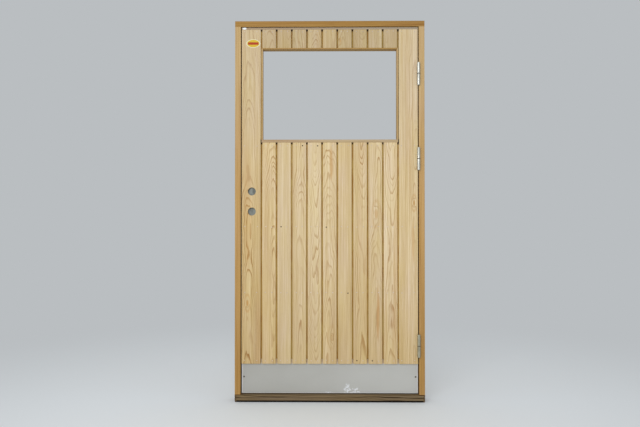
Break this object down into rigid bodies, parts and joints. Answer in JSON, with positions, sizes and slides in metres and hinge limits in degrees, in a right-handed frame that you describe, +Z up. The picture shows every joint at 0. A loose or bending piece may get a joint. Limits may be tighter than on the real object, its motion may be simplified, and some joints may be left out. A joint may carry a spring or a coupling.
{
  "type": "shed door",
  "caption": "Boarded pine shed door hung in its timber frame on lift-off hinges, with an empty window opening, drilled lock holes and a sheet-metal kick plate.",
  "frame": {"origin": "middle of the sill's underside, where the frame stands", "axes": "+Z up along the jambs, +X towards the hinges, +Y from the outside face towards the back"},
  "size_m": [0.99, 0.109, 1.99],
  "materials": {
    "board_pine": "planed pine, untreated",
    "frame_pine": "planed pine, yellowed",
    "lining_pine": "planed pine",
    "core_pine": "sawn pine",
    "sill_oak": "weathered oak",
    "sheet_metal": "grey coated sheet, scuffed",
    "lock_steel": "zinc-plated, dull",
    "hinge_steel": "zinc-plated",
    "fastener_steel": "zinc-plated",
    "weatherstrip": "matt brown"
  },
  "bodies": {
    "frame": {"sill": "sill_oak", "lock_jamb": "frame_pine", "hinge_jamb": "frame_pine", "frame_head": "frame_pine", "lock_stop": "frame_pine", "hinge_stop": "frame_pine", "head_stop": "frame_pine", "head_weatherstrip": "weatherstrip", "lock_weatherstrip": "weatherstrip", "hinge_weatherstrip": "weatherstrip", "frame_screws": "fastener_steel", "frame_hinge_top": "hinge_steel", "hinge_pin_top": "fastener_steel", "frame_hinge_middle": "hinge_steel", "hinge_pin_middle": "fastener_steel", "frame_hinge_bottom": "hinge_steel", "hinge_pin_bottom": "fastener_steel", "frame_hinge_screws": "fastener_steel"},
    "leaf": {"lock_stile": "core_pine", "hinge_stile": "core_pine", "top_rail": "core_pine", "window_rail": "core_pine", "mid_rail_upper": "core_pine", "mid_rail_lower": "core_pine", "bottom_rail": "core_pine", "lock_edge_board": "board_pine", "hinge_edge_board": "board_pine", "upper_board_1": "board_pine", "upper_board_2": "board_pine", "upper_board_3": "board_pine", "upper_board_4": "board_pine", "upper_board_5": "board_pine", "upper_board_6": "board_pine", "upper_board_7": "board_pine", "upper_board_8": "board_pine", "upper_board_9": "board_pine", "lower_board_1": "board_pine", "lower_board_2": "board_pine", "lower_board_3": "board_pine", "lower_board_4": "board_pine", "lower_board_5": "board_pine", "lower_board_6": "board_pine", "lower_board_7": "board_pine", "lower_board_8": "board_pine", "lower_board_9": "board_pine", "window_lining_head": "lining_pine", "window_lining_lock_side": "lining_pine", "window_lining_hinge_side": "lining_pine", "window_sill_lining": "lining_pine", "top_cap": "sheet_metal", "kick_plate": "sheet_metal", "kick_plate_screws": "fastener_steel", "leaf_hinge_top": "hinge_steel", "leaf_hinge_middle": "hinge_steel", "leaf_hinge_bottom": "hinge_steel", "leaf_hinge_screws": "fastener_steel", "lock_case": "lock_steel", "lock_case_screws": "fastener_steel"}
  },
  "joints": [
    {"name": "leaf_swing", "type": "hinge", "parent": "frame", "child": "leaf", "pos_m": [0.4625, -0.055, 1], "axis": [0, 0, 1], "range_deg": [0, 180]}
  ]
}
